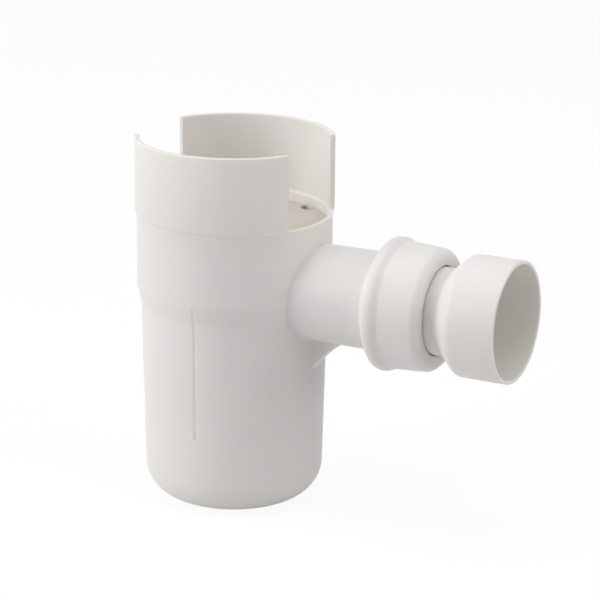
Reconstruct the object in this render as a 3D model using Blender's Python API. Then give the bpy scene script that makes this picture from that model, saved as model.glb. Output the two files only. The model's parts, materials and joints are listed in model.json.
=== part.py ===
"""Tundish trap: a white PVC bottle trap with an open, windowed tundish on top and a ring-seal outlet.

Water drips into the open top, falls to the cup, passes under the baffle and leaves by the side outlet.
+Z is up, the outlet points along +X, and the origin is the centre of the flat base.
All lengths are in metres, and all angles in degrees.
"""

import math

import bmesh
import bpy
from mathutils import Matrix, Vector

MM = 0.001

# heights above the base
RIM_HEIGHT = 184.5 * MM
COLLAR_HEIGHT = 147.2 * MM
COLLAR_SLOPE = 1.0 * MM
SHOULDER_TOP = 109.2 * MM
SHOULDER_BOTTOM = 100.2 * MM
OUTLET_HEIGHT = 111.3 * MM
ROOF_TOP = 141.5 * MM
BAFFLE_FOOT = 40.3 * MM

# outer radii of the cup, the barrel above it and the two guard walls, and what they share
CUP_FOOT_RADIUS = 44.15 * MM
CUP_TOP_RADIUS = 46.4 * MM
BARREL_RADIUS = 48.45 * MM
GUARD_RADIUS = 49.35 * MM
FOOT_ROUNDING = 17.4 * MM
RIM_ROUNDING = 0.5 * MM
WALL = 2.4 * MM

# the windows between the guard walls: half of each opening's angle, and the radius of its lower corners
OUTLET_WINDOW_HALF = 30.0
INLET_WINDOW_HALF = 27.0
WINDOW_CORNER = 1.5 * MM

# the outlet branch, measured along +X from the cup's axis
BRANCH_RADIUS = 24.05 * MM
BRANCH_BORE = 21.85 * MM
STOP_START = 62.0 * MM
STOP_LENGTH = 3.0 * MM
STOP_RADIUS = 20.2 * MM
BULGE_START = 81.5 * MM
BULGE_RISE = 5.9 * MM
BULGE_CREST = 3.5 * MM
BULGE_FALL = 2.1 * MM
BULGE_RADIUS = 32.8 * MM
BULGE_WALL = 2.8 * MM
HOUSING_START = 31.1 * MM
HOUSING_END = 30.2 * MM
MOUTH_END = 113.0 * MM
MOUTH_ROUNDING = 4.0 * MM
MOUTH_HOLE = 22.0 * MM
GUSSET_REACH = 14.4 * MM
GUSSET_DROP = 13.7 * MM
GUSSET_HOLLOW = 1.1 * MM
GUSSET_WIDTH = 8.0 * MM

# the outlet adaptor, a spigot with a larger socket on its outer end
SPIGOT_RADIUS = 21.45 * MM
SPIGOT_LENGTH = 47.0 * MM
SPIGOT_WALL = 2.55 * MM
SPIGOT_CHAMFER = 2.0 * MM
SHOULDER_GAP = 4.3 * MM
CONE_LENGTH = 10.5 * MM
SOCKET_BORE = 27.95 * MM
SOCKET_WALL = 1.8 * MM
SOCKET_DEPTH = 23.9 * MM
SOCKET_STOP = 1.5 * MM
SOCKET_EDGE = 0.6 * MM

# the rubber seal ring in the bulge
SEAL_CLEARANCE = 0.3 * MM
SEAL_LIP = 1.2 * MM
SEAL_HEEL = 3.5 * MM
SEAL_HEEL_LENGTH = 12.0 * MM

# the baffle, an upright plate with a half-moon roof over the outlet chamber
BAFFLE_OFFSET = 3.5 * MM
BAFFLE_THICKNESS = 2.4 * MM
BAFFLE_CLEARANCE = 0.3 * MM
NOTCH_ANGLE = 66.0
NOTCH_RADIUS = 3.8 * MM
GUIDE_THICKNESS = 1.6 * MM
GUIDE_DEPTH = 2.0 * MM
GUIDE_STOP = 3.0 * MM
WITNESS_WIDTH = 1.2 * MM
WITNESS_DEPTH = 0.35 * MM

CUP_SEGMENTS = 64
BRANCH_SEGMENTS = 48
ARC_STEPS = 6
OVERSHOOT = 5.0 * MM
SHARP_ANGLE = math.radians(32.0)

PVC_WHITE = (0.80, 0.785, 0.765)
SEAL_BLACK = (0.035, 0.035, 0.037)


def clear_scene():
    for obj in list(bpy.data.objects):
        bpy.data.objects.remove(obj, do_unlink=True)


def make_material(name, colour, roughness):
    material = bpy.data.materials.new(name)
    material.use_nodes = True
    shader = material.node_tree.nodes["Principled BSDF"]
    shader.inputs["Base Color"].default_value = (*colour, 1.0)
    shader.inputs["Roughness"].default_value = roughness
    shader.inputs["Metallic"].default_value = 0.0
    return material


def add_object(name, bm):
    """Turn a bmesh into a smooth-shaded object whose faces point outwards."""
    bmesh.ops.recalc_face_normals(bm, faces=bm.faces)
    mesh = bpy.data.meshes.new(name)
    bm.to_mesh(mesh)
    bm.free()
    mesh.shade_smooth()
    mesh.set_sharp_from_angle(angle=SHARP_ANGLE)
    obj = bpy.data.objects.new(name, mesh)
    bpy.context.collection.objects.link(obj)
    return obj


def apply_tool(target, tool, operation):
    """Combine a tool object with the target, and hide the tool, which isn't part of the trap."""
    tool.hide_render = True
    tool.display_type = "WIRE"
    modifier = target.modifiers.new(tool.name, "BOOLEAN")
    modifier.operation = operation
    modifier.solver = "EXACT"
    modifier.object = tool


def turned(name, outline, segments):
    """Spin a closed outline of (radius, height) points round the Z axis."""
    bm = bmesh.new()
    verts = [bm.verts.new((radius, 0.0, height)) for radius, height in outline]
    edges = [bm.edges.new((a, b)) for a, b in zip(verts, verts[1:] + verts[:1])]
    bmesh.ops.spin(bm, geom=verts + edges, cent=(0, 0, 0), axis=(0, 0, 1), dvec=(0, 0, 0),
                   angle=2 * math.pi, steps=segments, use_merge=True, use_duplicate=False)
    bmesh.ops.remove_doubles(bm, verts=bm.verts, dist=0.001 * MM)
    bare = [edge for edge in bm.edges if not edge.link_faces]
    bmesh.ops.delete(bm, geom=bare, context="EDGES")
    return add_object(name, bm)


def turned_along_outlet(name, outline, offset=0.0):
    """Spin a closed outline of (radius, distance) points round the outlet's axis, offset in segments."""
    obj = turned(name, outline, BRANCH_SEGMENTS)
    obj.data.transform(Matrix.Rotation(offset * 2 * math.pi / BRANCH_SEGMENTS, 4, "Z"))
    obj.data.transform(Matrix.Translation((0.0, 0.0, OUTLET_HEIGHT)) @ Matrix.Rotation(math.pi / 2, 4, "Y"))
    return obj


def block(name, low, high):
    """A box between two corners."""
    bm = bmesh.new()
    bmesh.ops.create_cube(bm, size=1.0)
    size = Vector(high) - Vector(low)
    bmesh.ops.scale(bm, verts=bm.verts, vec=size)
    bmesh.ops.translate(bm, verts=bm.verts, vec=Vector(low) + size / 2)
    return add_object(name, bm)


def prism(name, outline, width):
    """A flat (x, z) outline given a width along Y, centred on the outlet's plane."""
    bm = bmesh.new()
    face = bm.faces.new([bm.verts.new((x, -width / 2, z)) for x, z in outline])
    solid = bmesh.ops.extrude_face_region(bm, geom=[face])
    far = [item for item in solid["geom"] if isinstance(item, bmesh.types.BMVert)]
    bmesh.ops.translate(bm, verts=far, vec=(0.0, width, 0.0))
    return add_object(name, bm)


def arc(centre, radius, start, end):
    """Points along an arc, angles in degrees from the first axis towards the second."""
    points = []
    for step in range(ARC_STEPS + 1):
        angle = math.radians(start + (end - start) * step / ARC_STEPS)
        points.append((centre[0] + radius * math.cos(angle), centre[1] + radius * math.sin(angle)))
    return points


def cup_radius(height):
    """Outer radius of the tapered cup at a height below the shoulder."""
    return CUP_FOOT_RADIUS + (CUP_TOP_RADIUS - CUP_FOOT_RADIUS) * height / SHOULDER_BOTTOM


def cup_outline(inset, top, rounding=0.0):
    """The whole cup, barrel and rim as a solid up to a height, moved inwards by an inset."""
    centre = (cup_radius(FOOT_ROUNDING) - FOOT_ROUNDING, FOOT_ROUNDING)
    points = [(0.0, inset)] + arc(centre, FOOT_ROUNDING - inset, -90.0, 0.0)
    points += [(CUP_TOP_RADIUS - inset, SHOULDER_BOTTOM), (BARREL_RADIUS - inset, SHOULDER_TOP)]
    if top > COLLAR_HEIGHT:
        points += [(BARREL_RADIUS - inset, COLLAR_HEIGHT - COLLAR_SLOPE), (GUARD_RADIUS - inset, COLLAR_HEIGHT)]
        radius = GUARD_RADIUS - inset
    else:
        radius = BARREL_RADIUS - inset
    if rounding > 0.0:
        points += [(radius, top - rounding), (radius - rounding, top)]
    else:
        points += [(radius, top)]
    return points + [(0.0, top)]


def bulge_rise():
    """The flared side of the bulge, from the pipe up to the crest."""
    height = BULGE_RADIUS - BRANCH_RADIUS
    points = []
    for step in range(5):
        share = step / 4
        points.append((BRANCH_RADIUS + height * math.sin(share * math.pi / 2), BULGE_START + BULGE_RISE * share))
    return points


def crest_end():
    return BULGE_START + BULGE_RISE + BULGE_CREST


def housing_start():
    return crest_end() + BULGE_FALL


def branch_outline():
    """The branch from inside the barrel to its mouth: pipe, bulge, tapered housing and turned-in end."""
    root = BARREL_RADIUS - 4 * OVERSHOOT
    points = [(0.0, root), (BRANCH_RADIUS, root)] + bulge_rise()
    points += [(BULGE_RADIUS, crest_end()), (HOUSING_START + (BULGE_RADIUS - HOUSING_START) * 0.45,
                                             crest_end() + BULGE_FALL / 2)]
    points += [(HOUSING_START, housing_start())]
    points += arc((HOUSING_END - MOUTH_ROUNDING, MOUTH_END - MOUTH_ROUNDING), MOUTH_ROUNDING, 0.0, 90.0)
    return points + [(0.0, MOUTH_END)]


def seat():
    """The groove under the bulge: its start, its end, and its radius."""
    start = BULGE_START + BULGE_RISE * 0.85
    return start, crest_end(), BULGE_RADIUS - BULGE_WALL


def housing_bore():
    return HOUSING_END - WALL


def branch_bore_outline():
    """The bore of the branch, with a stop for the spigot, the seal's groove and its housing."""
    start, end, groove = seat()
    root = BARREL_RADIUS - 5 * OVERSHOOT
    stop_end = STOP_START + STOP_LENGTH
    inner_end = MOUTH_END - WALL
    inner_turn = HOUSING_END - MOUTH_ROUNDING
    return [(0.0, root), (BRANCH_BORE, root), (BRANCH_BORE, STOP_START), (STOP_RADIUS, STOP_START),
            (STOP_RADIUS, stop_end), (BRANCH_BORE, stop_end), (BRANCH_BORE, start - BULGE_WALL / 2),
            (groove, start), (groove, end), (housing_bore(), end + BULGE_FALL / 2),
            (housing_bore(), inner_end - WALL / 2), (inner_turn, inner_end), (MOUTH_HOLE, inner_end),
            (MOUTH_HOLE, MOUTH_END + OVERSHOOT), (0.0, MOUTH_END + OVERSHOOT)]


def window_cutter(name, middle, half_angle):
    """A wedge above the collar, with its two lower outer corners rounded."""
    reach = GUARD_RADIUS + 2 * OVERSHOOT
    sill = COLLAR_HEIGHT - COLLAR_SLOPE / 2
    rise = RIM_HEIGHT + OVERSHOOT - sill
    ends = [Vector((math.cos(math.radians(middle + side * half_angle)),
                    math.sin(math.radians(middle + side * half_angle)), 0.0)) * reach for side in (-1, 1)]
    bm = bmesh.new()
    corners = [bm.verts.new((0.0, 0.0, sill))] + [bm.verts.new(end + Vector((0.0, 0.0, sill))) for end in ends]
    face = bm.faces.new(corners)
    solid = bmesh.ops.extrude_face_region(bm, geom=[face])
    top = [item for item in solid["geom"] if isinstance(item, bmesh.types.BMVert)]
    bmesh.ops.translate(bm, verts=top, vec=(0.0, 0.0, rise))
    lower = [edge for edge in bm.edges if corners[0] in edge.verts and not any(v in top for v in edge.verts)]
    bmesh.ops.bevel(bm, geom=lower, offset=WINDOW_CORNER, segments=3, profile=0.5, affect="EDGES")
    return add_object(name, bm)


def gusset():
    """The fillet under the branch, where it grows out of the cup."""
    under = OUTLET_HEIGHT - BRANCH_RADIUS
    wall = cup_radius(under - GUSSET_DROP)
    length = math.hypot(GUSSET_REACH, GUSSET_DROP)
    curve = []
    for step in range(7):
        share = -0.08 + 1.16 * step / 6
        hollow = 4 * GUSSET_HOLLOW * share * (1 - share) / length
        curve.append((wall + GUSSET_REACH * share - GUSSET_DROP * hollow,
                      under - GUSSET_DROP * (1 - share) + GUSSET_REACH * hollow))
    top = under + BRANCH_RADIUS / 2
    return prism("gusset_form", [(curve[0][0], top)] + curve + [(curve[-1][0], top)], GUSSET_WIDTH)


def guide_ribs():
    """Ribs on the inner wall that hold the baffle's edges, with a stop under each pair."""
    slot = BAFFLE_THICKNESS / 2 + BAFFLE_CLEARANCE
    across = slot + GUIDE_THICKNESS
    top = ROOF_TOP - BAFFLE_THICKNESS - BAFFLE_CLEARANCE
    ribs = block("guide_ribs", (BAFFLE_OFFSET - across, -2 * BARREL_RADIUS, BAFFLE_FOOT - GUIDE_STOP),
                 (BAFFLE_OFFSET + across, 2 * BARREL_RADIUS, top))
    apply_tool(ribs, turned("guide_limit", cup_outline(WALL / 2, RIM_HEIGHT), CUP_SEGMENTS), "INTERSECT")
    apply_tool(ribs, turned("guide_core", cup_outline(WALL + GUIDE_DEPTH, RIM_HEIGHT), CUP_SEGMENTS), "DIFFERENCE")
    slit = block("guide_slot", (BAFFLE_OFFSET - slot, -2 * BARREL_RADIUS, BAFFLE_FOOT - BAFFLE_CLEARANCE),
                 (BAFFLE_OFFSET + slot, 2 * BARREL_RADIUS, RIM_HEIGHT))
    apply_tool(ribs, slit, "DIFFERENCE")
    return ribs


def witness_lines():
    """The fine upright lines that the guide ribs leave on the outside of the cup."""
    lines = block("witness_lines", (BAFFLE_OFFSET - WITNESS_WIDTH / 2, -2 * BARREL_RADIUS, BAFFLE_FOOT),
                  (BAFFLE_OFFSET + WITNESS_WIDTH / 2, 2 * BARREL_RADIUS, SHOULDER_TOP))
    apply_tool(lines, turned("witness_core", cup_outline(WITNESS_DEPTH, RIM_HEIGHT), CUP_SEGMENTS), "DIFFERENCE")
    return lines


def trap_body(material):
    """The one-piece moulding: cup, barrel, guard walls, windows and the ring-seal branch."""
    body = turned("trap_body", cup_outline(0.0, RIM_HEIGHT, RIM_ROUNDING), CUP_SEGMENTS)
    apply_tool(body, turned_along_outlet("branch_form", branch_outline(), 0.5), "UNION")
    apply_tool(body, gusset(), "UNION")
    cavity = turned("cavity", cup_outline(WALL, RIM_HEIGHT + OVERSHOOT), CUP_SEGMENTS)
    apply_tool(body, cavity, "DIFFERENCE")
    apply_tool(body, turned_along_outlet("branch_bore", branch_bore_outline()), "DIFFERENCE")
    apply_tool(body, guide_ribs(), "UNION")
    apply_tool(body, window_cutter("outlet_window", 0.0, OUTLET_WINDOW_HALF), "DIFFERENCE")
    apply_tool(body, window_cutter("inlet_window", 180.0, INLET_WINDOW_HALF), "DIFFERENCE")
    apply_tool(body, witness_lines(), "DIFFERENCE")
    body.data.materials.append(material)
    return body


def baffle_insert(material):
    """The loose insert: an upright plate across the cup, and a roof from it to the outlet side."""
    face = BAFFLE_OFFSET - BAFFLE_THICKNESS / 2
    back = BAFFLE_OFFSET + BAFFLE_THICKNESS / 2
    under = ROOF_TOP - BAFFLE_THICKNESS
    edge = GUARD_RADIUS + OVERSHOOT
    outline = [(face, BAFFLE_FOOT), (back, BAFFLE_FOOT), (back, under), (edge, under), (edge, ROOF_TOP),
               (face, ROOF_TOP)]
    insert = prism("baffle_insert", outline, 2 * edge)
    limit = turned("insert_limit", cup_outline(WALL + BAFFLE_CLEARANCE, RIM_HEIGHT), CUP_SEGMENTS)
    apply_tool(insert, limit, "INTERSECT")
    for side, name in ((-1, "notch_front"), (1, "notch_back")):
        angle = math.radians(side * NOTCH_ANGLE)
        reach = BARREL_RADIUS - WALL - BAFFLE_CLEARANCE
        notch = turned(name, [(0.0, under - OVERSHOOT), (NOTCH_RADIUS, under - OVERSHOOT),
                              (NOTCH_RADIUS, ROOF_TOP + OVERSHOOT), (0.0, ROOF_TOP + OVERSHOOT)], 24)
        notch.data.transform(Matrix.Translation((reach * math.cos(angle), reach * math.sin(angle), 0.0)))
        apply_tool(insert, notch, "DIFFERENCE")
    insert.data.materials.append(material)
    return insert


def seal_ring(material):
    """A lip seal: a bead in the groove, a lip on the spigot, and a heel along the housing."""
    start, end, groove = seat()
    outer = groove - SEAL_CLEARANCE
    heel = housing_bore() - SEAL_CLEARANCE
    lip = SPIGOT_RADIUS + SEAL_CLEARANCE
    first = start + SEAL_CLEARANCE
    last = end - SEAL_CLEARANCE / 2
    middle = (first + last) / 2
    heel_end = last + SEAL_HEEL_LENGTH
    outline = [(lip, middle - SEAL_LIP / 2), (lip, middle + SEAL_LIP / 2), (heel - SEAL_HEEL, last + SEAL_LIP),
               (heel - SEAL_HEEL, heel_end), (heel, heel_end), (heel, end + (BULGE_FALL - SEAL_CLEARANCE) / 2),
               (outer, last), (outer, first), (outer - SEAL_HEEL, first)]
    ring = turned_along_outlet("seal_ring", outline)
    ring.data.materials.append(material)
    return ring


def outlet_adaptor(material):
    """The push-fit adaptor: a spigot through the seal ring, a cone, and a socket for the waste pipe."""
    bore = SPIGOT_RADIUS - SPIGOT_WALL
    cone_start = MOUTH_END + SHOULDER_GAP
    cone_end = cone_start + CONE_LENGTH
    entry = cone_start - SPIGOT_LENGTH
    socket = SOCKET_BORE + SOCKET_WALL
    depth_start = cone_end + SOCKET_EDGE
    end = depth_start + SOCKET_DEPTH
    outline = [(bore, entry), (SPIGOT_RADIUS - SOCKET_EDGE, entry), (SPIGOT_RADIUS, entry + SPIGOT_CHAMFER),
               (SPIGOT_RADIUS, cone_start), (socket, cone_end), (socket, end - SOCKET_EDGE),
               (socket - SOCKET_EDGE, end), (socket - 2 * SOCKET_EDGE, end),
               (SOCKET_BORE, end - SOCKET_EDGE), (SOCKET_BORE, depth_start),
               (SOCKET_BORE - SOCKET_STOP, depth_start), (bore, cone_start + SPIGOT_WALL)]
    adaptor = turned_along_outlet("outlet_adaptor", outline)
    adaptor.data.materials.append(material)
    return adaptor


def main():
    clear_scene()
    trap_body(make_material("body_pvc", PVC_WHITE, 0.38))
    baffle_insert(make_material("insert_pvc", PVC_WHITE, 0.42))
    seal_ring(make_material("seal_rubber", SEAL_BLACK, 0.7))
    outlet_adaptor(make_material("adaptor_pvc", PVC_WHITE, 0.38))


main()
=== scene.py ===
"""Dress the packed tundish trap: moulded PVC pieces, rubber seal, studio floor, lamps and camera.

Every size is in metres, in the frame of the packed model: +Z is up, the outlet points along +X,
and the origin is the centre of the cup's flat base.
"""

import json
import math

import bmesh
import bpy
from bpy.props import FloatProperty, FloatVectorProperty, IntProperty, PointerProperty
from bpy.types import Operator, Panel, PropertyGroup
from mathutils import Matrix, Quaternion, Vector

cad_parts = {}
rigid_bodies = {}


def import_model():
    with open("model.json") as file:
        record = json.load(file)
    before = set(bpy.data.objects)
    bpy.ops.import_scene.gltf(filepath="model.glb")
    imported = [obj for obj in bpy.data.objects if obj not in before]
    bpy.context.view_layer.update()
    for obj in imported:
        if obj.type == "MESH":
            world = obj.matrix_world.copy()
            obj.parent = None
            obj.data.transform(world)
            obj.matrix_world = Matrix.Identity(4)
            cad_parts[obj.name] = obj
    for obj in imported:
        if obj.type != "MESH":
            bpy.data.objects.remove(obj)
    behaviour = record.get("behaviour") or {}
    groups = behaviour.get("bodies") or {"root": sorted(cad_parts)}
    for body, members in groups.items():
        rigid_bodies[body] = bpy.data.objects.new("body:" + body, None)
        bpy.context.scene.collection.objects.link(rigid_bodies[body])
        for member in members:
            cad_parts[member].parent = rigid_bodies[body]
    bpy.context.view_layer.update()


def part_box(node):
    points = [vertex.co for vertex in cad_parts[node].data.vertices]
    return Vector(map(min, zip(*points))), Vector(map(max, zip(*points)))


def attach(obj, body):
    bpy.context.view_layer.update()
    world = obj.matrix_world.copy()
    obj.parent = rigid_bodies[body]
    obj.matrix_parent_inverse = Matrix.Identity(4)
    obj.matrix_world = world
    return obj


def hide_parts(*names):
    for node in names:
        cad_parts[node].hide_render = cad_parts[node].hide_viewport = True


bl_info = {
    "name": "Tundish Trap",
    "version": (1, 0, 0),
    "blender": (4, 5, 0),
    "location": "View3D > Sidebar > Trap",
    "description": "Models and dresses a white PVC tundish trap round its packed solids",
    "category": "Object",
}

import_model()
SHELL_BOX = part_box("trap_body")
ADAPTOR_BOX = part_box("outlet_adaptor")

MM = 0.001
FULL_TURN = 2 * math.pi
# faces that meet at less than the first are shaded as one, and edges past the second are rounded
SMOOTH_ANGLE = math.radians(34.0)
SHARP_ANGLE = math.radians(50.0)
# points closer than the first are one, and the second is how far under a surface still counts as on it
TINY = 0.002 * MM
SKIN = 0.02 * MM
# how far cutters run past what they cut, and how far fine rings and blanks run past what they serve
OVERSHOOT = 5 * MM
MARGIN = 3 * MM
# share of the shoulder's height over which each of its bends is eased, and its steps
BEND_SHARE = 0.12
BEND_STEPS = (-0.12, -0.04, 0.04, 0.12)
# how early the flare and the bulge's fall start, and how late the fall ends, as a share of its lead
FLARE_LEAD = 0.6 * MM
FALL_LEAD = 2.2 * MM
FALL_TAIL = 0.4
# what the lamps point at, and each one's place, size and colour
LAMP_AIM = (0.02, 0.0, 0.10)
LAMPS = {
    "key_lamp": ((-1.537, -1.246, 1.03), (1.5, 1.5), (1.0, 0.99, 0.985)),
    "fill_lamp": ((1.962, 0.024, 1.133), (2.0, 1.5), (1.0, 0.985, 0.975)),
    "top_lamp": ((-0.06, -0.131, 2.295), (1.5, 1.5), (1.0, 1.0, 1.0)),
}


def level(name, description, value, **kind):
    """A number from 0 up."""
    return FloatProperty(name=name, description=description, default=value, min=0.0, **kind)


def length(name, description, value):
    """A size in metres, shown in the scene's own length unit."""
    return level(name, description, value, precision=5, subtype="DISTANCE", unit="LENGTH")


def swing(name, description, degrees):
    """An angle, given in degrees."""
    return FloatProperty(name=name, description=description, default=math.radians(degrees),
                         subtype="ANGLE", unit="ROTATION")


def tint(name, description, value):
    """A linear colour without alpha."""
    return FloatVectorProperty(name=name, description=description, default=value, size=3, min=0.0,
                               max=1.0, subtype="COLOR")


def spot(name, description, value):
    """A place in metres."""
    return FloatVectorProperty(name=name, description=description, default=value, size=3,
                               precision=5, subtype="XYZ", unit="LENGTH")


class TrapShellSettings(PropertyGroup):
    """Sizes of the one-piece shell."""

    rim_height: length("Rim height", "Top of the guard walls above the base", SHELL_BOX[1][2])
    collar_height: length("Collar height", "Foot of the guard walls", 147.2 * MM)
    collar_slope: length("Collar slope", "Height over which the wall steps out to the guards", 1.0 * MM)
    shoulder_top: length("Shoulder top", "Top of the cone between cup and barrel", 109.2 * MM)
    shoulder_bottom: length("Shoulder bottom", "Foot of the cone between cup and barrel", 100.2 * MM)
    foot_radius: length("Foot radius", "Outer radius of the cup's taper at the base", 44.15 * MM)
    cup_radius: length("Cup radius", "Outer radius of the cup below its shoulder", 46.4 * MM)
    barrel_radius: length("Barrel radius", "Outer radius of the barrel", 48.45 * MM)
    guard_radius: length("Guard radius", "Outer radius of the guard walls", SHELL_BOX[1][1])
    foot_rounding: length("Foot rounding", "Radius that rounds the foot of the cup", 17.4 * MM)
    wall: length("Wall", "Thickness of the moulding", 2.4 * MM)
    edge_rounding: length("Edge rounding", "Radius on the rim and on the edges of the windows", 0.45 * MM)
    outlet_window: swing("Outlet window", "Half of the window over the outlet", 30.0)
    inlet_window: swing("Inlet window", "Half of the window opposite the outlet", 27.0)
    cup_steps: IntProperty(name="Cup steps", description="Faces round the cup", default=240, min=48, max=360)
    ring_spacing: length("Ring spacing", "Height between edge rings where the branch joins", 1.4 * MM)
    rib_offset: length("Rib offset", "Distance of the baffle's plane from the cup's axis", 3.5 * MM)
    rib_foot: length("Rib foot", "Height at which the baffle's guides start", 40.3 * MM)
    rib_reach: length("Rib reach", "How far the guides stand in from the wall", 2.0 * MM)
    rib_thickness: length("Rib thickness", "Thickness of each guide", 1.6 * MM)
    mark_start: length("Mark start", "Where the guides' line outside starts to sink in", 1.5 * MM)
    mark_width: length("Mark width", "Width of the line that the guides leave outside", 1.8 * MM)
    mark_depth: length("Mark depth", "Depth of the line that the guides leave outside", 0.5 * MM)


class TrapBranchSettings(PropertyGroup):
    """Sizes of the outlet branch, measured along the outlet from the cup's axis."""

    height: length("Outlet height", "Height of the outlet's axis", 111.3 * MM)
    pipe_radius: length("Pipe radius", "Outer radius of the branch", 24.05 * MM)
    pipe_bore: length("Pipe bore", "Inner radius of the branch", 21.85 * MM)
    stop_start: length("Stop start", "Where the spigot's stop starts", 62.0 * MM)
    stop_length: length("Stop length", "Length of the spigot's stop", 3.0 * MM)
    stop_radius: length("Stop radius", "Inner radius of the spigot's stop", 20.2 * MM)
    bulge_start: length("Bulge start", "Where the pipe starts to flare", 81.5 * MM)
    bulge_rise: length("Bulge rise", "Length of the flare", 5.9 * MM)
    bulge_crest: length("Bulge crest", "Length of the crest", 3.5 * MM)
    bulge_fall: length("Bulge fall", "Length of the slope down to the housing", 2.1 * MM)
    bulge_radius: length("Bulge radius", "Outer radius of the crest", 32.8 * MM)
    bulge_wall: length("Bulge wall", "Thickness of the wall over the seal", 2.8 * MM)
    housing_start: length("Housing start", "Outer radius of the housing next to the bulge", 31.1 * MM)
    housing_end: length("Housing end", "Outer radius of the housing next to the mouth", 30.2 * MM)
    mouth_end: length("Mouth end", "Where the branch ends", SHELL_BOX[1][0])
    mouth_rounding: length("Mouth rounding", "Radius of the turned-in mouth", 4.0 * MM)
    mouth_hole: length("Mouth hole", "Radius of the hole in the mouth", 22.0 * MM)
    gusset_reach: length("Gusset reach", "How far the gusset runs out along the pipe", 16.0 * MM)
    gusset_drop: length("Gusset drop", "How far the gusset runs down the cup", 15.0 * MM)
    gusset_hollow: length("Gusset hollow", "How far the gusset's edge curves in", 1.1 * MM)
    gusset_width: length("Gusset width", "Thickness of the gusset", 8.0 * MM)
    gusset_rounding: length("Gusset rounding", "Rounding of the gusset's lower edges", 3.6 * MM)
    gusset_blend: length("Gusset blend", "How far the joint between gusset and cup is smoothed", 3.0 * MM)
    root_blend: length("Root blend", "How far the joint between pipe and cup is smoothed", 2.4 * MM)
    pipe_steps: IntProperty(name="Pipe steps", description="Faces round the branch", default=144,
                            min=36, max=240)


class TrapAdaptorSettings(PropertyGroup):
    """Sizes of the outlet adaptor."""

    spigot_radius: length("Spigot radius", "Outer radius of the spigot", 21.45 * MM)
    spigot_length: length("Spigot length", "Length of the spigot", 48.7 * MM)
    spigot_wall: length("Spigot wall", "Thickness of the spigot", 2.55 * MM)
    spigot_chamfer: length("Spigot chamfer", "Length of the lead-in on the spigot", 2.0 * MM)
    shoulder_gap: length("Shoulder gap", "Distance from the mouth to the cone", 6.0 * MM)
    cone_length: length("Cone length", "Length of the cone", 8.8 * MM)
    socket_bore: length("Socket bore", "Inner radius of the socket", 27.95 * MM)
    socket_wall: length("Socket wall", "Thickness of the socket", 1.8 * MM)
    socket_stop: length("Socket stop", "Width of the pipe's stop in the socket", 1.5 * MM)
    socket_edge: length("Socket edge", "Rounding of the socket's end", 0.6 * MM)
    bend_rounding: length("Bend rounding", "Rounding where the cone meets the socket", 2.0 * MM)


class TrapInsertSettings(PropertyGroup):
    """Sizes of the baffle insert and the seal ring."""

    thickness: length("Thickness", "Thickness of the baffle and its roof", 2.4 * MM)
    roof_height: length("Roof height", "Top of the roof", 141.5 * MM)
    clearance: length("Clearance", "Gap between the insert and the shell", 0.3 * MM)
    notch_angle: swing("Notch angle", "Place of the notches in the roof, from the outlet", 61.5)
    notch_radius: length("Notch radius", "Radius of the notches in the roof", 4.8 * MM)
    edge_rounding: length("Edge rounding", "Rounding of the insert's edges", 0.3 * MM)
    seal_lip: length("Seal lip", "Width of the lip on the spigot", 1.2 * MM)
    seal_heel: length("Seal heel", "Depth of the seal's heel", 3.5 * MM)
    seal_heel_length: length("Seal heel length", "Length of the seal's heel", 12.0 * MM)


class TrapFinishSettings(PropertyGroup):
    """Colours and surface of the materials."""

    pvc: tint("PVC", "Colour of the moulded shell and the adaptor", (0.860, 0.836, 0.810))
    # painted shade: the insert's colour is darker and warmer than the shell's PVC, standing for the shade and
    # warm bounce light on its roof inside the guard walls
    insert: tint("Insert", "Colour of the baffle insert", (0.620, 0.575, 0.520))
    rubber: tint("Rubber", "Colour of the seal ring", (0.030, 0.030, 0.032))
    pvc_roughness: level("PVC roughness", "Roughness of the moulded PVC", 0.42, max=1.0, subtype="FACTOR")


class TrapStageSettings(PropertyGroup):
    """Camera, floor and lamps."""

    camera_place: spot("Camera place", "Where the camera stands", (0.61496, -1.12473, 0.49208))
    camera_aim: spot("Camera aim", "Direction in which the camera looks", (-0.43727, 0.85048, -0.29237))
    camera_roll: swing("Camera roll", "Turn of the camera about its own axis", 0.56)
    camera_lens: level("Camera lens", "Focal length on a 36 mm sensor", 161.16, unit="CAMERA")
    key_power: level("Key power", "Power of the large lamp on the left", 29.5, unit="POWER")
    fill_power: level("Fill power", "Power of the lamp on the right", 17.5, unit="POWER")
    top_power: level("Top power", "Power of the lamp overhead", 20.5, unit="POWER")
    ambient: level("Ambient", "Strength of the light from all round", 0.17)


# modelling by hand: outlines, turning, cutting and rounding


def deselect_everything():
    """Leave edit mode, with nothing selected."""
    if bpy.context.object and bpy.context.object.mode != "OBJECT":
        bpy.ops.object.mode_set(mode="OBJECT")
    bpy.ops.object.select_all(action="DESELECT")


def work_on(obj):
    """Make an object the only selected one, and the active one."""
    deselect_everything()
    obj.select_set(True)
    bpy.context.view_layer.objects.active = obj


def draw_outline(name, points, closed):
    """Draw an outline point by point, by extruding one vertex."""
    deselect_everything()
    bpy.ops.mesh.primitive_plane_add(size=MM, location=(0.0, 0.0, 0.0))
    obj = bpy.context.object
    obj.name = name
    obj.data.name = name
    bpy.ops.object.mode_set(mode="EDIT")
    bpy.ops.mesh.select_mode(type="VERT")
    bpy.ops.mesh.select_all(action="SELECT")
    bpy.ops.mesh.merge(type="CENTER")
    places = [Vector(point) for point in points]
    bpy.ops.transform.translate(value=places[0])
    for last, place in zip(places, places[1:]):
        bpy.ops.mesh.extrude_vertices_move(TRANSFORM_OT_translate={"value": place - last})
    if closed:
        bm = bmesh.from_edit_mesh(obj.data)
        bm.verts.ensure_lookup_table()
        bm.verts[0].select = True
        bm.select_flush_mode()
        bmesh.update_edit_mesh(obj.data)
        bpy.ops.mesh.edge_face_add()
    return obj


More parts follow.
